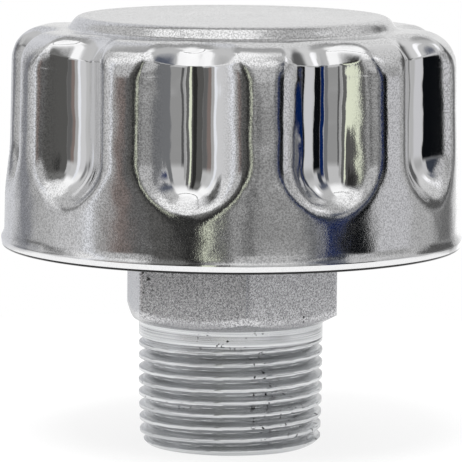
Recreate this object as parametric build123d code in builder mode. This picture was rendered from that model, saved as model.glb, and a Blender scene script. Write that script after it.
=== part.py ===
from build123d import *
from math import cos, radians, sin, tan
import os

os.makedirs("parts", exist_ok=True)

# Hydraulic filler breather: a fluted steel cap over a pleated air filter, on a pan and a
# hexagon stem with a 3/4-14 taper pipe thread. Millimetres, +Z up, and the origin is the
# centre of the stem's lower end face, on which the part stands.

# Threaded stem, turned from 1 1/8 inch hexagon bar
hexagon_across_flats = 28.575
hexagon_corner_radius = hexagon_across_flats / 2 / cos(radians(30))
thread_radius = 13.34
thread_taper = 1 / 32
thread_straight_from = 8.0
end_chamfer = 0.95
neck_top = 18.0
hexagon_chamfer_height = 1.55
hexagon_top = 30.0
bore_radius = 9.6
spigot_radius = 12.4
strap_seat_radius = 10.6
strap_seat = 28.0
rolled_lip_radius = 13.9
rolled_lip_height = 0.9

# Base pan, pressed from sheet and held under the stem's rolled lip
pan_sheet = 1.0
pan_floor_radius = 23.0
pan_rim_radius = 27.0
pan_rim_top = 35.0
pan_rim_turn = 1.6
pan_floor = hexagon_top + pan_sheet

# Cap, drawn from sheet and pressed with ten flutes
cap_skin = 0.8
cap_bottom = 29.0
cap_height = 33.1
plateau_radius = 21.8
step_slope = 45
shoulder_height = 31.3
shoulder_round = 5.4
wall_top_radius = 32.25
wall_foot_radius = 32.85
wall_foot_height = 1.9
lip_radius = 33.35
lip_height = 1.1
flute_count = 10
flute_radius = 6.6
flute_axis_radius = 34.9
flute_low = 15.0
flute_high = 31.0
round_steps = 3

# Stud that holds the cap down to the strap across the stem's bore
stud_radius = 3.175
stud_end = 20.0
stud_end_chamfer = 0.8
stud_flange_radius = 5.0
stud_flange = 1.0
stud_plate_radius = 17.0
stud_plate_thickness = 1.4
strap_width = 9.0
strap_thickness = 3.0
strap_hole_radius = 3.4
nut_across_flats = 11.11
nut_height = 5.5
lock_washer_radius = 5.9
lock_washer_thickness = 1.6
lock_washer_gap = 1.2

# Filter element between its two gaskets
gasket_thickness = 2.0
lower_gasket_inner, lower_gasket_outer = 15.0, 21.0
upper_gasket_inner, upper_gasket_outer = 6.0, 13.0
disc_sheet = 0.5
disc_radius = 23.0
disc_rim = 4.0
core_radius = 10.0
tube_sheet = 0.5
pleat_count = 40
pleat_outer, pleat_inner = 21.8, 12.3
pleat_crest, pleat_root = 3.9, 2.3
paper = 0.5
slot_rows = 2
slot_share = 0.7
screen_slots, screen_slot_width = 16, 5.0
core_slots, core_slot_width = 8, 4.0

step_foot_radius = plateau_radius + (cap_height - shoulder_height) / tan(radians(step_slope))
stud_plate_bottom = cap_bottom + cap_height - cap_skin - stud_plate_thickness
element_bottom = pan_floor + gasket_thickness
element_top = stud_plate_bottom - gasket_thickness
flute_pitch = 360 / flute_count
pleat_pitch = 360 / pleat_count


def quarter_round(centre_x, centre_z, radius, first_angle):
    """Points of a quarter turn clockwise from first_angle, as the presses' flat steps."""
    angles = [first_angle - 90 * step / round_steps for step in range(round_steps + 1)]
    return [(centre_x + radius * cos(radians(a)), centre_z + radius * sin(radians(a))) for a in angles]


def cap_form(skin, bottom):
    """The cap's pressed form, drawn in by skin all over, down to bottom."""
    slope_inset = skin * tan(radians(step_slope / 2))
    corner_x = wall_top_radius - shoulder_round
    corner_z = shoulder_height - shoulder_round
    with BuildPart() as scoop:
        with BuildSketch(Plane.XZ):
            with BuildLine():
                radius = flute_radius + skin
                high_end = quarter_round(0, flute_high, radius, 90)
                low_end = quarter_round(0, flute_low, radius, 0)
                Polyline(*high_end, *low_end, close=True)
            make_face()
        revolve(axis=Axis.Z)
    with BuildPart() as form:
        with BuildSketch(Plane.XZ.rotated((0, 0, flute_pitch / 2))):
            with BuildLine():
                Polyline(
                    (0, bottom),
                    (0, cap_height - skin),
                    (plateau_radius - slope_inset, cap_height - skin),
                    (step_foot_radius - slope_inset, shoulder_height - skin),
                    *quarter_round(corner_x, corner_z, shoulder_round - skin, 90),
                    (wall_foot_radius - skin, wall_foot_height),
                    (lip_radius - skin, lip_height),
                    (lip_radius - skin, bottom),
                    close=True,
                )
            make_face()
        revolve(axis=Axis.Z)
        with PolarLocations(flute_axis_radius, flute_count):
            add(scoop.part, mode=Mode.SUBTRACT)
    return form.part


def ring(inner_radius, outer_radius, bottom, thickness):
    """A flat washer round the centre line."""
    with BuildPart() as washer:
        with BuildSketch(Plane.XY.offset(bottom)):
            Circle(outer_radius)
            Circle(inner_radius, mode=Mode.SUBTRACT)
        extrude(amount=thickness)
    return washer.part


def slotted_tube(inner_radius, slots_around, slot_width):
    """A tube of the element, with rows of upright slots."""
    tube_height = element_top - element_bottom - 2 * disc_sheet
    row_pitch = tube_height / slot_rows
    middle = (element_bottom + element_top) / 2
    with BuildPart() as tube:
        with BuildSketch(Plane.XY.offset(element_bottom + disc_sheet)):
            Circle(inner_radius + tube_sheet)
            Circle(inner_radius, mode=Mode.SUBTRACT)
        extrude(amount=tube_height)
        for row in range(slot_rows):
            slot_middle = middle + (row - (slot_rows - 1) / 2) * row_pitch
            with Locations((0, 0, slot_middle)):
                with PolarLocations(inner_radius, slots_around):
                    Box(4 * tube_sheet, slot_width, slot_share * row_pitch, mode=Mode.SUBTRACT)
    return tube.part


def end_disc(hole_radius, collar_radius):
    """A pressed end disc, flat on Z = 0, with its rims turned up."""
    with BuildPart() as disc:
        with BuildSketch():
            Circle(disc_radius)
            Circle(hole_radius, mode=Mode.SUBTRACT)
        extrude(amount=disc_sheet)
        with BuildSketch(Plane.XY.offset(disc_sheet)):
            Circle(disc_radius)
            Circle(disc_radius - disc_sheet, mode=Mode.SUBTRACT)
            Circle(collar_radius + disc_sheet)
            Circle(collar_radius, mode=Mode.SUBTRACT)
        extrude(amount=disc_rim - disc_sheet)
    return disc.part


# Cap: one drawn shell
outside = cap_form(0, 0)
inside = cap_form(cap_skin, -1)
with BuildPart() as cap_shell:
    with Locations((0, 0, cap_bottom)):
        add(outside)
        add(inside, mode=Mode.SUBTRACT)
cap_shell.part.label = "cap_shell"

# Stem: hexagon, neck, thread blank, bore, strap seat and the spigot rolled over the pan
with BuildPart() as threaded_stem:
    with BuildSketch(Plane.XY.offset(neck_top)):
        RegularPolygon(hexagon_corner_radius, 6, rotation=90)
    extrude(amount=hexagon_top - neck_top)
    with BuildSketch(Plane.XZ):
        with BuildLine():
            Polyline(
                (0, neck_top),
                (thread_radius, neck_top),
                (hexagon_corner_radius, neck_top + hexagon_chamfer_height),
                (hexagon_corner_radius + 1, hexagon_top),
                (0, hexagon_top),
                close=True,
            )
        make_face()
    revolve(axis=Axis.Z, mode=Mode.INTERSECT)
    with BuildSketch(Plane.XZ):
        with BuildLine():
            end_radius = thread_radius - thread_straight_from * thread_taper
            Polyline(
                (0, 0),
                (end_radius - end_chamfer, 0),
                (end_radius, end_chamfer),
                (thread_radius, thread_straight_from),
                (thread_radius, neck_top),
                (0, neck_top),
                close=True,
            )
        make_face()
        with BuildLine():
            lip_top = pan_floor + rolled_lip_height
            Polyline(
                (0, hexagon_top),
                (spigot_radius, hexagon_top),
                (spigot_radius, pan_floor),
                (rolled_lip_radius, pan_floor),
                (rolled_lip_radius - rolled_lip_height / 2, lip_top),
                (0, lip_top),
                close=True,
            )
        make_face()
    revolve(axis=Axis.Z)
    with BuildSketch():
        Circle(bore_radius)
    extrude(amount=lip_top, mode=Mode.SUBTRACT)
    with BuildSketch(Plane.XY.offset(strap_seat)):
        Circle(strap_seat_radius)
    extrude(amount=strap_thickness, mode=Mode.SUBTRACT)
threaded_stem.part.label = "threaded_stem"

# Pan: a dish whose rim stands up inside the cap and leaves the air gap round it
with BuildPart() as base_pan:
    with BuildSketch(Plane.XZ):
        with BuildLine():
            rim_inner_radius = pan_rim_radius - pan_rim_turn
            Polyline(
                (spigot_radius, hexagon_top),
                (pan_floor_radius, hexagon_top),
                (rim_inner_radius + pan_sheet, pan_rim_top - pan_rim_turn),
                (pan_rim_radius, pan_rim_top - pan_rim_turn),
                (pan_rim_radius, pan_rim_top),
                (rim_inner_radius, pan_rim_top),
                (pan_floor_radius - pan_sheet / 2, pan_floor),
                (spigot_radius, pan_floor),
                close=True,
            )
        make_face()
    revolve(axis=Axis.Z)
base_pan.part.label = "base_pan"

# Stud and its plate, welded under the cap's plateau
with BuildPart() as stud_plate:
    add(ring(stud_radius, stud_plate_radius, stud_plate_bottom, stud_plate_thickness))
stud_plate.part.label = "stud_plate"

with BuildPart() as cap_stud:
    with BuildSketch(Plane.XY.offset(stud_end)):
        Circle(stud_radius)
    extrude(amount=stud_plate_bottom + stud_plate_thickness - stud_end)
    with BuildSketch(Plane.XY.offset(stud_plate_bottom - stud_flange)):
        Circle(stud_flange_radius)
    extrude(amount=stud_flange)
    chamfer(cap_stud.edges().sort_by(Axis.Z)[0], length=stud_end_chamfer)
cap_stud.part.label = "cap_stud"

# Strap across the bore, lock washer and nut
with BuildPart() as bridge_strap:
    with BuildSketch(Plane.XY.offset(strap_seat)):
        Circle(strap_seat_radius)
        Rectangle(2 * strap_seat_radius, strap_width, mode=Mode.INTERSECT)
        Circle(strap_hole_radius, mode=Mode.SUBTRACT)
    extrude(amount=strap_thickness)
bridge_strap.part.label = "bridge_strap"

lock_washer_bottom = strap_seat - lock_washer_thickness
with BuildPart() as lock_washer:
    add(ring(strap_hole_radius, lock_washer_radius, lock_washer_bottom, lock_washer_thickness))
    with Locations((lock_washer_radius / 2, 0, lock_washer_bottom + lock_washer_thickness / 2)):
        Box(lock_washer_radius, lock_washer_gap, lock_washer_thickness, mode=Mode.SUBTRACT)
lock_washer.part.label = "lock_washer"

with BuildPart() as stud_nut:
    with BuildSketch(Plane.XY.offset(lock_washer_bottom - nut_height)):
        RegularPolygon(nut_across_flats / 2, 6, major_radius=False)
        Circle(stud_radius, mode=Mode.SUBTRACT)
    extrude(amount=nut_height)
stud_nut.part.label = "stud_nut"

# Gaskets above and below the element
with BuildPart() as lower_gasket:
    add(ring(lower_gasket_inner, lower_gasket_outer, pan_floor, gasket_thickness))
lower_gasket.part.label = "lower_gasket"

with BuildPart() as upper_gasket:
    add(ring(upper_gasket_inner, upper_gasket_outer, element_top, gasket_thickness))
upper_gasket.part.label = "upper_gasket"

# Element: end discs, inner and outer slotted tubes, and the folded paper between them
tube_inner_radius = core_radius + disc_sheet
screen_inner_radius = disc_radius - disc_sheet - tube_sheet
with BuildPart() as element_bottom_disc:
    with Locations((0, 0, element_bottom)):
        add(end_disc(core_radius, core_radius))
element_bottom_disc.part.label = "element_bottom_disc"

with BuildPart() as element_top_disc:
    with Locations(Location((0, 0, element_top), (180, 0, 0))):
        add(end_disc(strap_hole_radius, core_radius))
element_top_disc.part.label = "element_top_disc"

with BuildPart() as inner_tube:
    add(slotted_tube(tube_inner_radius, core_slots, core_slot_width))
inner_tube.part.label = "inner_tube"

with BuildPart() as outer_screen:
    add(slotted_tube(screen_inner_radius, screen_slots, screen_slot_width))
outer_screen.part.label = "outer_screen"

with BuildPart() as pleated_media:
    with BuildSketch(Plane.XY.offset(element_bottom + disc_sheet)):
        with BuildLine():
            folds = [(pleat_outer, pleat_crest / 2), (pleat_inner, pleat_pitch / 2 - pleat_root / 2)]
            folds += [(pleat_inner, pleat_pitch / 2 + pleat_root / 2), (pleat_outer, pleat_pitch - pleat_crest / 2)]
            turns = [(r, a + pleat_pitch * pleat) for pleat in range(pleat_count) for r, a in folds]
            Polyline(*[(r * cos(radians(a)), r * sin(radians(a))) for r, a in turns], close=True)
        make_face()
        offset(amount=-paper, kind=Kind.INTERSECTION, mode=Mode.SUBTRACT)
    extrude(amount=element_top - element_bottom - 2 * disc_sheet)
pleated_media.part.label = "pleated_media"

pieces = (
    cap_shell,
    stud_plate,
    cap_stud,
    upper_gasket,
    element_top_disc,
    outer_screen,
    pleated_media,
    inner_tube,
    element_bottom_disc,
    lower_gasket,
    base_pan,
    threaded_stem,
    bridge_strap,
    lock_washer,
    stud_nut,
)
for piece in pieces:
    export_step(piece.part, f"parts/{piece.part.label}.step")
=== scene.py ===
import math
import bpy
import numpy as np
from mathutils import Euler, Matrix, Vector


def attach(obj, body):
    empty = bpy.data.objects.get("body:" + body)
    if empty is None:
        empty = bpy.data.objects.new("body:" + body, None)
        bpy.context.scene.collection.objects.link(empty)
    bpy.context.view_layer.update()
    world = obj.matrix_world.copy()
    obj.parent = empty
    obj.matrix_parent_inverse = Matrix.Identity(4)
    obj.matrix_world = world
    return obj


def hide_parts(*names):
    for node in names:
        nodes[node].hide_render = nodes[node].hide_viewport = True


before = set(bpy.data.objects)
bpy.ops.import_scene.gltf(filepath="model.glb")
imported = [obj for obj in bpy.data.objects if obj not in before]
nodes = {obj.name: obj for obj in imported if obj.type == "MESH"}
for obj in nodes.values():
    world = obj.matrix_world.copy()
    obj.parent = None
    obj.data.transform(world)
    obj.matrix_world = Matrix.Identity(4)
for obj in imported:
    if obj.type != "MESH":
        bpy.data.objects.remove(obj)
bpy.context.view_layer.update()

mm = 0.001
print("frame loaded")


cameraSettings = {
    "azimuth": -97.55,       # degrees from +X, the side the breather is seen from
    "distance": 570.4,       # mm from the centre line
    "height": 103.7,         # mm above the stem's end face
    "sideways": -0.07,       # mm
    "tiltDown": 7.28,
    "roll": 0.4,
    "lens": 309.5,
}


def makeCamera(s):
    data = bpy.data.cameras.new("camera")
    data.sensor_width = 36
    data.lens = s["lens"]
    data.clip_start, data.clip_end = 0.01, 20
    cam = bpy.data.objects.new("camera", data)
    bpy.context.scene.collection.objects.link(cam)
    turn = math.radians(s["azimuth"])
    away = Vector((math.cos(turn), math.sin(turn), 0))
    right = Vector((-math.sin(turn), math.cos(turn), 0))
    spot = away * s["distance"] + right * s["sideways"] + Vector((0, 0, s["height"]))
    level = Euler((math.pi / 2, 0, turn + math.pi / 2)).to_matrix()
    tilt = Euler((-math.radians(s["tiltDown"]), 0, 0)).to_matrix()
    roll = Euler((0, 0, math.radians(s["roll"]))).to_matrix()
    cam.matrix_world = Matrix.Translation(spot * mm) @ (level @ tilt @ roll).to_4x4()
    bpy.context.scene.camera = cam


makeCamera(cameraSettings)
print("camera set")


# Rounds the corners of an open path of (r, z, radius, steps): the corner is rounded to that
# radius, in steps of turnStep degrees or 13 at small corners, and the straight run after it
# gets that many steps.
def roundedPath(corners, turnStep):
    pts = [Vector(c[:2]) for c in corners]
    path = []
    for i, (x, z, radius, steps) in enumerate(corners):
        here = pts[i]
        if radius and 0 < i < len(corners) - 1:
            a = (pts[i - 1] - here).normalized()
            b = (pts[i + 1] - here).normalized()
            half = a.angle(b) / 2
            reach = radius / math.tan(half)
            centre = here + (a + b).normalized() * (radius / math.sin(half))
            first = here + a * reach - centre
            last = here + b * reach - centre
            sweep = first.angle_signed(last)
            arcStep = turnStep if radius > 3 else 13
            count = max(2, math.ceil(abs(math.degrees(sweep)) / arcStep))
            arc = []
            for k in range(count + 1):
                turn = -sweep * k / count
                c, s = math.cos(turn), math.sin(turn)
                arc.append(centre + Vector((c * first.x - s * first.y, s * first.x + c * first.y)))
        else:
            arc = [here.copy()]
        if path:
            start, runSteps = path[-1], corners[i - 1][3]
            path += [start.lerp(arc[0], k / runSteps) for k in range(1, runSteps)]
        path += arc
    return np.array([tuple(p) for p in path])


# A skin over rings[row, column] = (x, y, z), closed round the columns.
def skinOver(name, rings, joinEnds=False, capStart=False, capEnd=False):
    rows, cols = rings.shape[:2]
    index = np.arange(rows * cols).reshape(rows, cols)
    if joinEnds:
        index = np.vstack([index, index[:1]])
    lower, upper = index[:-1], index[1:]
    quads = np.stack([lower, np.roll(lower, -1, 1), np.roll(upper, -1, 1), upper], -1)
    quads = quads.reshape(-1, 4)
    verts = rings.reshape(-1, 3)
    faces = [tuple(q) for q in quads.tolist()]
    for wanted, ring, order in ((capStart, index[0], -1), (capEnd, index[-1], 1)):
        if wanted:
            middle = len(verts)
            verts = np.vstack([verts, verts[ring].mean(0)])
            loop = ring[::order].tolist()
            faces += [(a, b, middle) for a, b in zip(loop, loop[1:] + loop[:1])]
    a, b, c, d = (verts[quads[:, k]] for k in range(4))
    if (a * (np.cross(b, c) + np.cross(c, d))).sum() < 0:      # the skin would be inside out
        faces = [f[::-1] for f in faces]
    mesh = bpy.data.meshes.new(name)
    mesh.from_pydata((verts * mm).tolist(), [], faces)
    mesh.validate()
    piece = bpy.data.objects.new(name, mesh)
    bpy.context.scene.collection.objects.link(piece)
    return piece


def shadeSmooth(piece, sharpFrom):
    piece.data.polygons.foreach_set("use_smooth", [True] * len(piece.data.polygons))
    if sharpFrom < 180:
        piece.data.set_sharp_from_angle(angle=math.radians(sharpFrom))
    piece.data.update()


def ringsFrom(radius, height, angles):
    radius = np.broadcast_to(radius, (len(radius), len(angles)))
    height = np.broadcast_to(height, (len(height), len(angles)))
    return np.stack([radius * np.cos(angles), radius * np.sin(angles), height], -1)


capSettings = {
    "bottom": 29.0,
    "skin": 0.8,
    # outside line: r, z above the rim, corner radius, steps to the next corner
    "outside": [
        (0.6, 33.08, 0, 3),
        (22.35, 33.08, 1.7, 2),
        (23.75, 31.3, 1.1, 3),
        (32.25, 31.3, 5.4, 30),
        (32.85, 2.1, 2.2, 2),
        (33.34, 1.2, 0.4, 2),
        (33.12, 0.0, 0.3, 2),
        (32.62, 0.0, 0.2, 1),
        (32.6, 0.6, 0, 1),
    ],
    "inside": [
        (32.5, 1.1, 0, 2),
        (32.03, 2.2, 1.5, 16),
        (31.45, 30.5, 4.6, 3),
        (23.3, 30.5, 1.6, 2),
        (21.9, 32.28, 1.0, 2),
        (0.6, 32.28, 0, 1),
    ],
    "outsideTurnStep": 2.4,  # degrees to a step round the large corners
    "insideTurnStep": 15.0,
    "flutes": 10,
    # degrees from a flute's middle, and the steps across each stretch
    "sectorRuns": [(-18, -13, 3), (-13, -4.5, 23), (-4.5, 4.5, 12), (4.5, 13, 23), (13, 18, 3)],
    "deepest": 5.3,
    "fluteRadius": 6.6,
    "fluteAxis": 34.9,
    "fluteLow": 14.6,
    "fluteBend": 30.1,       # from here up the punch leans in over the shoulder
    "fluteLean": 35.0,
    "foldRadius": 3.0,
    "endFoldRadius": 1.4,    # at both ends of a flute the sheet folds more tightly
    "endFolds": (9.0, 14.0, 26.5, 30.0),
}


# Angles round the cap, closer together where the flutes fold over.
def capAngles(s):
    sector = 360 / s["flutes"]
    steps = np.concatenate([np.linspace(a, b, n, endpoint=False) for a, b, n in s["sectorRuns"]])
    return np.radians(np.concatenate([k * sector + steps for k in range(s["flutes"])]))


# Normals towards the centre line, for a line drawn from the middle outwards and down.
def inwardNormals(path):
    along = np.gradient(path, axis=0)
    normal = np.stack([along[:, 1], -along[:, 0]], -1)
    return normal / np.linalg.norm(normal, axis=1, keepdims=True)


# Presses the flutes into a turned line: each point goes in along the line's normal until it
# lies on the rounded meeting of the turned form and the upright round-ended punch.
def pressFlutes(path, angles, s, extra):
    normal = inwardNormals(path)
    sector = 2 * math.pi / s["flutes"]
    offAxis = (angles + sector / 2) % sector - sector / 2
    tight, wide = s["endFoldRadius"], s["foldRadius"]
    foldHeights, foldRadii = s["endFolds"], (tight, wide, wide, tight)

    def place(depth):
        r = path[:, :1] + normal[:, :1] * depth
        z = path[:, 1:] + normal[:, 1:] * depth
        return r, z

    lean = math.radians(s["fluteLean"])

    # distance inside the punch: an upright rod with a round lower end, leaning in at the top
    def insidePunch(r, z):
        out = r * np.cos(offAxis) - s["fluteAxis"]
        across = r * np.sin(offAxis)
        up = z - np.clip(z, s["fluteLow"], s["fluteBend"])
        upright = np.sqrt(out**2 + across**2 + up**2)
        rise = z - s["fluteBend"]
        along = np.maximum(rise * math.cos(lean) - out * math.sin(lean), 0)
        leanOut = out + along * math.sin(lean)
        leanUp = rise - along * math.cos(lean)
        leaning = np.sqrt(leanOut**2 + across**2 + leanUp**2)
        return s["fluteRadius"] + extra - np.minimum(upright, leaning)

    def outsideMetal(depth):
        r, z = place(depth)
        a, b = -depth, insidePunch(r, z)
        fold = np.maximum(np.interp(z, foldHeights, foldRadii) - extra, 0.3)
        corner = np.hypot(np.maximum(fold + a, 0), np.maximum(fold + b, 0))
        return np.minimum(-fold, np.maximum(a, b)) + corner

    low = np.zeros((len(path), len(angles)))
    high = np.full_like(low, s["deepest"] - extra)
    cut = outsideMetal(low) > 1e-9
    for _ in range(34):
        middle = (low + high) / 2
        outside = outsideMetal(middle) > 0
        low = np.where(outside, middle, low)
        high = np.where(outside, high, middle)
    depth = np.where(cut, (low + high) / 2, 0)
    r, z = place(depth)
    return ringsFrom(r, z + s["bottom"], angles)


def makeCap(s):
    angles = capAngles(s)
    outer = pressFlutes(roundedPath(s["outside"], s["outsideTurnStep"]), angles, s, 0)
    insideLine = roundedPath(s["inside"], s["insideTurnStep"])[::-1]
    inner = pressFlutes(insideLine, angles, s, s["skin"])[::-1]
    cap = skinOver("fluted_cap", np.concatenate([outer, inner]), capStart=True, capEnd=True)
    shadeSmooth(cap, 180)
    return cap


cap = makeCap(capSettings)
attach(cap, "root")
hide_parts("cap_shell")
print("cap pressed:", sum(len(f.vertices) - 2 for f in cap.data.polygons), "triangles")


stemSettings = {
    "apothem": 14.2875,
    "cornerRadius": 16.42,    # the bar's corners are a little blunt
    "hexagonBottom": 18.0,
    "hexagonTop": 30.0,
    "chamferRise": 0.49,      # mm up for each mm out, under the hexagon
    "neckRadius": 13.34,
    "neckBottom": 15.9,
    "taper": 1 / 32,
    "straightFrom": 8.0,
    "pitch": 1.8143,
    "grooveTurn": 0.035,      # turns from +X to the groove's middle at height 0
    "threadDepth": 1.42,
    "crestShare": 0.26,
    "rootShare": 0.06,
    "endRadius": 12.14,
    "endChamfer": 0.95,
    "boreRadius": 9.6,
    "seatRadius": 10.6,
    "seatBottom": 28.0,
    "spigotRadius": 12.4,
    "spigotTop": 31.0,
    "lipRadius": 13.85,
    "lipTop": 31.9,
    "columns": 360,
    "rowsPerTurn": 22,
}


def threadRadius(angles, z, s):
    crest = s["neckRadius"] - np.maximum(s["straightFrom"] - z, 0) * s["taper"]
    turn = (z / s["pitch"] - angles / (2 * math.pi) - s["grooveTurn"]) % 1.0
    side = 1 - np.abs(2 * turn - 1)      # 0 in the middle of the groove, 1 on the crest
    rise = np.clip((side - s["rootShare"]) / (1 - s["rootShare"] - s["crestShare"]), 0, 1)
    fade = np.clip((s["neckBottom"] - z) / 0.9, 0, 1)
    grooved = crest - s["threadDepth"] * (1 - rise) * fade
    cone = s["endRadius"] + (crest - s["endRadius"]) * np.clip(z / s["endChamfer"], 0, 1)
    return np.minimum(grooved, cone)


def makeStem(s):
    angles = np.radians(np.arange(s["columns"]) * 360 / s["columns"])
    fromFlat = (angles + math.pi / 6) % (math.pi / 3) - math.pi / 6
    hexRadius = np.minimum(s["apothem"] / np.cos(fromFlat), s["cornerRadius"])
    rowsR, rowsZ = [], []

    def row(radius, z):
        rowsR.append(np.broadcast_to(radius, angles.shape))
        rowsZ.append(np.broadcast_to(z, angles.shape))

    # bore from the strap's seat down, then the end face
    for z in np.linspace(s["seatBottom"], 0.35, 8):
        row(s["boreRadius"], z)
    row(s["boreRadius"] + 0.35, 0.0)
    row(threadRadius(angles, np.array(0.0), s) - 0.25, 0.0)
    # thread
    step = s["pitch"] / s["rowsPerTurn"]
    for z in np.arange(0.03, s["neckBottom"] + 0.02, step):
        row(threadRadius(angles, np.array(z), s), z)
    # neck, and the chamfer under the hexagon
    for z in (s["neckBottom"] + 0.1, 16.6, 17.3, s["hexagonBottom"] - 0.12):
        row(s["neckRadius"], z)
    row(s["neckRadius"] + 0.05, s["hexagonBottom"])
    row(s["neckRadius"] + 0.35, s["hexagonBottom"] + 0.1)
    meet = s["hexagonBottom"] + (hexRadius - s["neckRadius"]) * s["chamferRise"]
    row(hexRadius - 0.14, meet - 0.07)
    row(hexRadius - 0.04, meet)
    row(hexRadius, meet + 0.12)
    for share in (0.1, 0.3, 0.5, 0.7, 0.9):
        row(hexRadius, meet + 0.12 + (s["hexagonTop"] - 0.15 - meet) * share)
    row(hexRadius, s["hexagonTop"] - 0.12)
    row(hexRadius - 0.1, s["hexagonTop"])
    # spigot, and its lip rolled over the pan
    row(s["spigotRadius"], s["hexagonTop"])
    row(s["spigotRadius"], s["spigotTop"])
    row(s["lipRadius"], s["spigotTop"] + 0.02)
    row(s["lipRadius"] - 0.06, s["spigotTop"] + 0.4)
    row(s["lipRadius"] - 0.3, s["spigotTop"] + 0.72)
    row(s["lipRadius"] - 0.75, s["lipTop"])
    row(s["boreRadius"] + 0.3, s["lipTop"])
    row(s["boreRadius"], s["lipTop"] - 0.3)
    row(s["boreRadius"], s["spigotTop"])
    row(s["seatRadius"], s["spigotTop"])
    row(s["seatRadius"], s["seatBottom"])
    rings = ringsFrom(np.array(rowsR), np.array(rowsZ), angles)
    stem = skinOver("stem_with_thread", rings, joinEnds=True)
    shadeSmooth(stem, 32)
    return stem


stem = makeStem(stemSettings)
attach(stem, "root")
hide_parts("threaded_stem")
print("stem turned:", sum(len(f.vertices) - 2 for f in stem.data.polygons), "triangles")


def addNode(tree, kind, values=None, **settings):
    node = tree.nodes.new(kind)
    for key, value in settings.items():
        setattr(node, key, value)
    for key, value in (values or {}).items():
        node.inputs[key].default_value = value
    return node


def calc(tree, operation, a, b=None, c=None):
    node = addNode(tree, "ShaderNodeMath", operation=operation)
    for socket, value in zip(node.inputs, (a, b, c)):
        if value is None:
            continue
        if isinstance(value, (int, float)):
            socket.default_value = value
        else:
            tree.links.new(value, socket)
    return node.outputs[0]


def remap(tree, value, fromLow, fromHigh, toLow, toHigh, smooth=False):
    node = addNode(tree, "ShaderNodeMapRange", {1: fromLow, 2: fromHigh, 3: toLow, 4: toHigh})
    if smooth:
        node.interpolation_type = "SMOOTHSTEP"
    tree.links.new(value, node.inputs[0])
    return node.outputs[0]


def noise(tree, where, scale, detail=2.0, roughness=0.5, stretch=None):
    if stretch:
        stretched = addNode(tree, "ShaderNodeMapping")
        stretched.inputs["Scale"].default_value = stretch
        tree.links.new(where, stretched.inputs["Vector"])
        where = stretched.outputs[0]
    values = {"Scale": scale, "Detail": detail, "Roughness": roughness}
    node = addNode(tree, "ShaderNodeTexNoise", values)
    tree.links.new(where, node.inputs["Vector"])
    return node.outputs["Fac"]


def mixColours(tree, share, first, second):
    node = addNode(tree, "ShaderNodeMix", data_type="RGBA")
    for slot, value in ((0, share), (6, first), (7, second)):
        socket = node.inputs[slot]
        if isinstance(value, (int, float)):
            socket.default_value = value
        elif isinstance(value, (tuple, list)):
            socket.default_value = (*value, 1) if len(value) == 3 else value
        else:
            tree.links.new(value, socket)
    return node.outputs[2]


def bump(tree, height, distance, strength=1.0, over=None):
    node = addNode(tree, "ShaderNodeBump", {"Strength": strength, "Distance": distance})
    tree.links.new(height, node.inputs["Height"])
    if over is not None:
        tree.links.new(over, node.inputs["Normal"])
    return node.outputs[0]


def newFinish(name):
    material = bpy.data.materials.new(name)
    material.use_nodes = True
    tree = material.node_tree
    shader = tree.nodes["Principled BSDF"]
    where = addNode(tree, "ShaderNodeTexCoord").outputs["Object"]
    return material, tree, shader, where


chromeSettings = {
    "colour": (0.81, 0.81, 0.815),
    "floorRoughness": 0.03,      # down in the flutes, where the press has ironed the sheet
    "sideRoughness": 0.1,
    "shoulderRoughness": 0.08,
    "topRoughness": 0.17,
    "grain": 5000,               # grains to the metre
    "grainDepth": 0.000012,
    "grainTone": 0.6,
    "paintedShadowLineTop": 0.02935,          # up to this height the lip's lower edge is painted near black, a painted shadow line under the lip
    # metres from the centre line, and up: where one finish passes into the next
    "floorToSide": (0.0295, 0.0317),
    "wallToShoulder": (0.0592, 0.0602),
    "stepToTop": (0.0616, 0.062),
    "beadToWall": (0.0301, 0.0308),
    "drawMarks": 1500,
    "drawMarkDepth": 0.000008,
    "waves": 230,
    "waveDepth": 0.00014,
}


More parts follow.
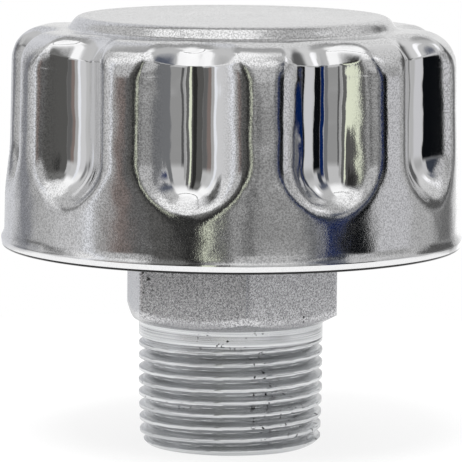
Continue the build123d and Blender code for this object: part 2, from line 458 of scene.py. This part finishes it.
def chromeFinish(s):
    material, tree, shader, where = newFinish("chrome_plate")
    shader.inputs["Metallic"].default_value = 1.0
    parts = addNode(tree, "ShaderNodeSeparateXYZ")
    tree.links.new(where, parts.inputs[0])
    x, y, z = parts.outputs
    squares = calc(tree, "ADD", calc(tree, "MULTIPLY", x, x), calc(tree, "MULTIPLY", y, y))
    out = calc(tree, "SQRT", squares)
    side = remap(tree, out, *s["floorToSide"], 0, 1, smooth=True)
    shoulder = remap(tree, z, *s["wallToShoulder"], 0, 1, smooth=True)
    top = remap(tree, z, *s["stepToTop"], 0, 1, smooth=True)
    bead = remap(tree, z, *s["beadToWall"], 0.15, 1)      # the flared lip is smoother
    satin = calc(tree, "MULTIPLY", calc(tree, "MAXIMUM", side, shoulder), bead)
    patches = remap(tree, noise(tree, where, 70, 3, 0.6), 0.3, 0.7, 0.8, 1.25)
    rough = remap(tree, side, 0, 1, s["floorRoughness"], s["sideRoughness"])
    toShoulder = calc(tree, "SUBTRACT", s["shoulderRoughness"], rough)
    rough = calc(tree, "ADD", rough, calc(tree, "MULTIPLY", shoulder, toShoulder))
    rough = calc(tree, "MAXIMUM", rough, calc(tree, "MULTIPLY", top, s["topRoughness"]))
    tree.links.new(calc(tree, "MULTIPLY", rough, patches), shader.inputs["Roughness"])
    waves = bump(tree, noise(tree, where, s["waves"], 1.0, 0.4), s["waveDepth"])
    marks = noise(tree, where, s["drawMarks"], 1.0, 0.5, stretch=(1, 1, 0.03))
    marks = calc(tree, "MULTIPLY", marks, remap(tree, satin, 0, 1, 1, 0.2))
    drawn = bump(tree, marks, s["drawMarkDepth"], over=waves)
    pits = remap(tree, noise(tree, where, s["grain"] * 0.8, 2.0, 0.8), 0.4, 0.57, s["grainTone"], 0)
    pits = calc(tree, "MULTIPLY", pits, satin)
    dull = tuple(0.35 * c for c in s["colour"])
    plated = mixColours(tree, pits, s["colour"], dull)
    # painted shade: below this height the lip's lower edge is painted near black, standing in for
    # its shadowed underside
    cut = calc(tree, "LESS_THAN", z, s["paintedShadowLineTop"])
    tree.links.new(mixColours(tree, cut, plated, (0.03, 0.03, 0.03)), shader.inputs["Base Color"])
    grains = noise(tree, where, s["grain"], 2.0, 0.6)
    grains = calc(tree, "MULTIPLY", grains, remap(tree, satin, 0, 1, 0.12, 1))
    grain = bump(tree, grains, s["grainDepth"], over=drawn)
    tree.links.new(grain, shader.inputs["Normal"])
    return material


zincBarSettings = {
    "hexLight": (0.74, 0.74, 0.75),
    "hexDark": (0.25, 0.25, 0.26),
    "turnedLight": (0.76, 0.77, 0.78),
    "turnedDark": (0.48, 0.49, 0.5),
    "speck": (0.04, 0.04, 0.04),
    "hexRoughness": 0.24,
    "turnedRoughness": 0.27,
    "metallic": 0.82,
    # metres up: where the neck meets the hexagon, and how far up its chamfer reaches
    "neckToHexagon": (0.0179, 0.0183),
    "chamferToFlats": (0.0188, 0.0196),
    "turnedDepth": 0.00002,
    "hexDepth": 0.000012,
}


def zincBarFinish(s):
    material, tree, shader, where = newFinish("zinc_plated_bar")
    shader.inputs["Metallic"].default_value = s["metallic"]
    parts = addNode(tree, "ShaderNodeSeparateXYZ")
    tree.links.new(where, parts.inputs[0])
    x, y, z = parts.outputs
    onHexagon = remap(tree, z, *s["neckToHexagon"], 0, 1)
    mottle = noise(tree, where, 4200, 2, 0.8)
    mottled = remap(tree, mottle, 0.36, 0.6, 0, 1)
    hexagonTone = mixColours(tree, mottled, s["hexDark"], s["hexLight"])
    # the chamfer under the hexagon is a duller turned cut
    onChamfer = remap(tree, z, *s["chamferToFlats"], 0.7, 0)
    hexagonTone = mixColours(tree, onChamfer, hexagonTone, s["hexDark"])
    # turning lines run round the neck and the thread
    lines = noise(tree, where, 1500, 2, 0.6, stretch=(0.03, 0.03, 4))
    lined = remap(tree, lines, 0.35, 0.65, 0, 1)
    turnedTone = mixColours(tree, lined, s["turnedDark"], s["turnedLight"])
    tone = mixColours(tree, onHexagon, turnedTone, hexagonTone)
    specks = remap(tree, noise(tree, where, 1500, 1, 0.6), 0.66, 0.7, 0, 1)
    clusters = remap(tree, noise(tree, where, 110, 1, 0.5), 0.54, 0.62, 0, 1)
    dirt = calc(tree, "MULTIPLY", specks, clusters)
    tree.links.new(mixColours(tree, dirt, tone, s["speck"]), shader.inputs["Base Color"])
    rough = remap(tree, onHexagon, 0, 1, s["turnedRoughness"], s["hexRoughness"])
    tree.links.new(rough, shader.inputs["Roughness"])
    offHexagon = calc(tree, "SUBTRACT", 1.0, onHexagon)
    turned = bump(tree, calc(tree, "MULTIPLY", lines, offHexagon), s["turnedDepth"])
    pitted = bump(tree, calc(tree, "MULTIPLY", mottle, onHexagon), s["hexDepth"], over=turned)
    tree.links.new(pitted, shader.inputs["Normal"])
    return material


zincSheetSettings = {"light": (0.68, 0.69, 0.7), "dark": (0.52, 0.53, 0.54), "roughness": 0.33}
steelSettings = {"light": (0.52, 0.52, 0.53), "dark": (0.36, 0.36, 0.37), "roughness": 0.36}
paperSettings = {"light": (0.8, 0.71, 0.52), "dark": (0.68, 0.57, 0.38)}
rubberSettings = {"light": (0.05, 0.05, 0.05), "dark": (0.02, 0.02, 0.02)}


def sheetFinish(name, s):
    material, tree, shader, where = newFinish(name)
    shader.inputs["Metallic"].default_value = 1.0
    mottle = noise(tree, where, 900, 4, 0.6)
    tone = mixColours(tree, remap(tree, mottle, 0.3, 0.7, 0, 1), s["dark"], s["light"])
    tree.links.new(tone, shader.inputs["Base Color"])
    rough = remap(tree, mottle, 0.3, 0.7, s["roughness"] + 0.1, s["roughness"] - 0.05)
    tree.links.new(rough, shader.inputs["Roughness"])
    tree.links.new(bump(tree, mottle, 0.00001), shader.inputs["Normal"])
    return material


def paperFinish(s):
    material, tree, shader, where = newFinish("filter_paper")
    shader.inputs["Roughness"].default_value = 0.9
    fibres = noise(tree, where, 2200, 5, 0.7, stretch=(1, 1, 0.3))
    tone = mixColours(tree, remap(tree, fibres, 0.3, 0.7, 0, 1), s["dark"], s["light"])
    tree.links.new(tone, shader.inputs["Base Color"])
    tree.links.new(bump(tree, fibres, 0.00003), shader.inputs["Normal"])
    return material


def rubberFinish(s):
    material, tree, shader, where = newFinish("black_rubber")
    shader.inputs["Roughness"].default_value = 0.65
    bloom = noise(tree, where, 500, 4, 0.6)
    tone = mixColours(tree, remap(tree, bloom, 0.35, 0.75, 0, 1), s["dark"], s["light"])
    tree.links.new(tone, shader.inputs["Base Color"])
    tree.links.new(bump(tree, noise(tree, where, 3000, 2, 0.5), 0.00001), shader.inputs["Normal"])
    return material


def give(material, *pieces):
    for piece in pieces:
        piece.data.materials.clear()
        piece.data.materials.append(material)


zincSheet = sheetFinish("zinc_plated_sheet", zincSheetSettings)
plainSteel = sheetFinish("plain_steel", steelSettings)
rubber = rubberFinish(rubberSettings)
give(chromeFinish(chromeSettings), cap)
give(zincBarFinish(zincBarSettings), stem)
zincSheetNodes = (
    "base_pan", "element_top_disc", "element_bottom_disc",
    "outer_screen", "inner_tube", "bridge_strap",
)
plainSteelNodes = ("stud_plate", "cap_stud", "lock_washer", "stud_nut")
give(zincSheet, *[nodes[name] for name in zincSheetNodes])
give(plainSteel, *[nodes[name] for name in plainSteelNodes])
give(rubber, nodes["upper_gasket"], nodes["lower_gasket"])
give(paperFinish(paperSettings), nodes["pleated_media"])
print("finishes given")


studioSettings = {
    "tableRadius": 0.125,
    "tableColour": (0.93, 0.93, 0.93),
    "sky": 0.56,             # brightness overhead, where no panel is
    "room": 0.62,            # brightness round the sides, where no panel is
    "wallTop": 52,           # degrees up
    "floorOfRoom": 0.95,
    # a thin dark line overhead: degrees up, half width, brightness
    "seam": (67, 0.8, 0.25),
    # bands of brightness that only gloss mirrors; a label says no more than where its band is
    # middle, half width and soft edge in degrees round from the side that the camera is on,
    # positive to its right; lowest and highest in degrees up; brightness; tint
    "panels": [
        ("left back, pale", -162, 22, 12, -90, 48, 0.74, (0.98, 0.99, 1.03)),
        ("left back, dark", -128, 9, 8, -90, 20, 0.3, (0.96, 0.98, 1.06)),
        ("left back, low grey", -110, 11, 7, -90, -1, 0.57, (1, 1, 1)),
        ("left back, low dark", -118, 8, 7, -1, 8, 0.14, (1, 1, 1)),
        ("left back, dark strip", -103, 6, 6, 4, 30, 0.26, (1, 1, 1)),
        ("left, pale", -86, 12, 8, -90, 50, 0.7, (1, 1, 1.01)),
        ("left, bright", -86, 8, 6, 20, 42, 0.98, (1, 1, 1)),
        ("left, bright strip", -76, 3.5, 4, -90, 50, 0.95, (0.98, 1, 1.05)),
        ("left front, grey", -66, 5, 4, -90, 8, 0.44, (1.01, 1, 0.99)),
        ("left front, tan strip", -57.5, 5, 3, -90, 8, 0.2, (1.2, 0.96, 0.88)),
        ("left front, dark", -48, 6, 5, -90, 8, 0.14, (1, 0.99, 0.98)),
        ("left front, upper grey", -48, 9, 6, 12, 30, 0.55, (1, 1, 1)),
        ("front left, dark", -33, 10, 4, -90, 53, 0.105, (1, 0.99, 0.95)),
        ("front left, black", -21, 6, 3, -90, 53, 0.03, (1, 1, 0.97)),
        ("front left, upper dark", -38, 11, 6, 34, 50, 0.2, (1, 1, 0.97)),
        ("front, dark strip", -14.5, 2.5, 2, -90, 52, 0.1, (1, 0.98, 0.95)),
        ("front, dark middle", -4.5, 4, 2, -90, 50, 0.14, (1, 1, 0.98)),
        ("front, yellowish strip", -11, 2.3, 1.5, -90, 40, 0.85, (1, 1.05, 0.83)),
        ("front, grey strip", 3, 2.5, 2, -90, 30, 0.4, (1, 1, 0.99)),
        ("front, low dark", 8.5, 3, 2.5, -90, 4, 0.1, (1, 1, 1)),
        ("front right, grey", 25, 14, 4, -90, 2, 0.33, (1, 1, 0.99)),
        ("front right, upper grey", 24, 18, 6, 2, 44, 0.6, (1, 1, 1)),
        ("front right, dark edge", 41, 4.5, 3, -90, 36, 0.19, (0.98, 1, 1.04)),
        ("right, blue", 51.5, 4.5, 2.5, -90, 24, 0.09, (0.03, 0.18, 1)),
        ("right, black", 65, 9, 3, -90, 9, 0.004, (0.9, 1.1, 1.4)),
        ("right, upper black", 58, 6, 4, 8, 48, 0.05, (0.9, 1.05, 1.4)),
        ("right, bright edge", 72, 5, 5, 14, 32, 0.62, (1, 1, 1.02)),
        ("right, upper dark strip", 58, 14, 6, 38, 50, 0.13, (0.85, 0.95, 1.25)),
        ("right, bright foot", 91, 13.5, 4, -90, 4, 0.66, (1, 1, 1.03)),
        ("right, grey", 90, 13, 6, 4, 21, 0.45, (1, 1, 1)),
        ("right, upper bright", 92, 9, 6, 36, 52, 1.2, (1, 1, 1.02)),
        ("right back, low grey", 111, 8, 8, -90, 2, 0.52, (1, 1, 1)),
        ("right back, dark", 131, 17, 7, 1, 29, 0.12, (1, 1, 1)),
        ("right back, low dark", 136, 12, 12, -90, 1, 0.19, (1, 1, 1)),
        ("right back, upper pale", 130, 30, 10, 31, 54, 0.74, (1, 1, 1)),
        ("back, pale", 171, 17, 8, -90, 58, 0.84, (1, 1, 1)),
        ("back, low bright", 172, 13, 6, -90, -3, 1.25, (1, 1, 1)),
        ("back, overhead grey", 180, 62, 20, 54, 78, 0.42, (1, 1, 1)),
        ("left, overhead bright", -72, 18, 12, 40, 60, 1.15, (1, 1, 1)),
        ("front, overhead bright", 18, 24, 12, 47, 62, 1.05, (1, 1, 1)),
        ("front, high bright", -38, 80, 14, 57, 80, 1.2, (1, 1, 1)),
        ("straight up", 0, 200, 10, 77, 110, 1.15, (1, 1, 1)),
    ],
}


def makeStudio(s):
    world = bpy.data.worlds.new("studio")
    bpy.context.scene.world = world
    world.use_nodes = True
    tree = world.node_tree
    tree.nodes.clear()
    direction = addNode(tree, "ShaderNodeTexCoord").outputs["Generated"]
    parts = addNode(tree, "ShaderNodeSeparateXYZ")
    tree.links.new(direction, parts.inputs[0])
    x, y, z = parts.outputs
    # degrees round from the camera's side, positive to its right, and degrees up
    turn = math.radians(cameraSettings["azimuth"])

    def along(stepX, stepY):
        return calc(tree, "ADD", calc(tree, "MULTIPLY", x, stepX), calc(tree, "MULTIPLY", y, stepY))

    forward = along(math.cos(turn), math.sin(turn))
    sideways = along(-math.sin(turn), math.cos(turn))
    azimuth = calc(tree, "MULTIPLY", calc(tree, "ARCTAN2", sideways, forward), 180 / math.pi)
    elevation = calc(tree, "MULTIPLY", calc(tree, "ARCSINE", z), 180 / math.pi)

    def across(middle, half, edge):
        away = calc(tree, "WRAP", calc(tree, "SUBTRACT", azimuth, middle), 180, -180)
        away = calc(tree, "ABSOLUTE", away)
        return remap(tree, away, half - edge / 2, half + edge / 2, 1, 0, smooth=True)

    def above(limit, edge):
        return remap(tree, elevation, limit - edge / 2, limit + edge / 2, 0, 1, smooth=True)

    colour = mixColours(tree, above(s["wallTop"], 8), (s["room"],) * 3, (s["sky"],) * 3)
    for name, middle, half, edge, lowest, highest, level, tint in s["panels"]:
        over = calc(tree, "SUBTRACT", 1.0, above(highest, 15))
        upAndDown = calc(tree, "MULTIPLY", above(lowest, 15), over)
        here = calc(tree, "MULTIPLY", upAndDown, across(middle, half, edge))
        colour = mixColours(tree, here, colour, tuple(level * c for c in tint))
    seamAt, seamHalf, seamLevel = s["seam"]
    offSeam = calc(tree, "ABSOLUTE", calc(tree, "SUBTRACT", elevation, seamAt))
    onSeam = remap(tree, offSeam, seamHalf * 0.6, seamHalf * 1.4, 1, 0)
    seam = calc(tree, "MULTIPLY", onSeam, across(-38, 80, 14))
    colour = mixColours(tree, seam, colour, (seamLevel,) * 3)
    colour = mixColours(tree, above(-13, 5), (s["floorOfRoom"],) * 3, colour)
    rays = addNode(tree, "ShaderNodeLightPath")
    shown = addNode(tree, "ShaderNodeBackground", {"Color": (1, 1, 1, 1), "Strength": 1.0})
    lit = addNode(tree, "ShaderNodeBackground", {"Color": (1, 1, 1, 1), "Strength": 0.95})
    mirrored = addNode(tree, "ShaderNodeBackground", {"Strength": 1.0})
    tree.links.new(colour, mirrored.inputs["Color"])
    first = addNode(tree, "ShaderNodeMixShader")
    tree.links.new(rays.outputs["Is Glossy Ray"], first.inputs[0])
    tree.links.new(lit.outputs[0], first.inputs[1])
    tree.links.new(mirrored.outputs[0], first.inputs[2])
    second = addNode(tree, "ShaderNodeMixShader")
    tree.links.new(rays.outputs["Is Camera Ray"], second.inputs[0])
    tree.links.new(first.outputs[0], second.inputs[1])
    tree.links.new(shown.outputs[0], second.inputs[2])
    out = addNode(tree, "ShaderNodeOutputWorld")
    tree.links.new(second.outputs[0], out.inputs["Surface"])


def makeTable(s):
    angles = np.radians(np.arange(0, 360, 5))
    outer = s["tableRadius"] / mm
    rings = ringsFrom(np.array([[outer], [outer / 2]]), np.array([[0.0], [0.0]]), angles)
    table = skinOver("table", rings, capEnd=True)
    material = bpy.data.materials.new("table_white")
    material.use_nodes = True
    tree = material.node_tree
    tree.nodes.clear()
    rays = addNode(tree, "ShaderNodeLightPath")
    seen = calc(tree, "MAXIMUM", rays.outputs["Is Camera Ray"], rays.outputs["Is Glossy Ray"])
    seen = calc(tree, "MULTIPLY", seen, 0.75)
    matt = addNode(tree, "ShaderNodeBsdfDiffuse", {"Color": (*s["tableColour"], 1)})
    plain = addNode(tree, "ShaderNodeEmission", {"Color": (1, 1, 1, 1), "Strength": 1.04})
    mixed = addNode(tree, "ShaderNodeMixShader")
    tree.links.new(seen, mixed.inputs[0])
    tree.links.new(matt.outputs[0], mixed.inputs[1])
    tree.links.new(plain.outputs[0], mixed.inputs[2])
    out = addNode(tree, "ShaderNodeOutputMaterial")
    tree.links.new(mixed.outputs[0], out.inputs["Surface"])
    give(material, table)


def makeLamp(name, spot, size, power):
    data = bpy.data.lights.new(name, "AREA")
    data.shape = "DISK"
    data.size = size
    data.energy = power
    lamp = bpy.data.objects.new(name, data)
    lamp.location = spot
    lamp.visible_glossy = False      # gloss mirrors the studio's bands and not this lamp
    lamp.rotation_mode = "QUATERNION"
    lamp.rotation_quaternion = (Vector(spot) - Vector((0, 0, 0.04))).to_track_quat("Z", "Y")
    bpy.context.scene.collection.objects.link(lamp)


makeStudio(studioSettings)
makeTable(studioSettings)
makeLamp("overhead_softbox", (-0.15, -0.35, 0.9), 0.5, 6)
bpy.context.scene.view_settings.view_transform = "Standard"
print("studio set")
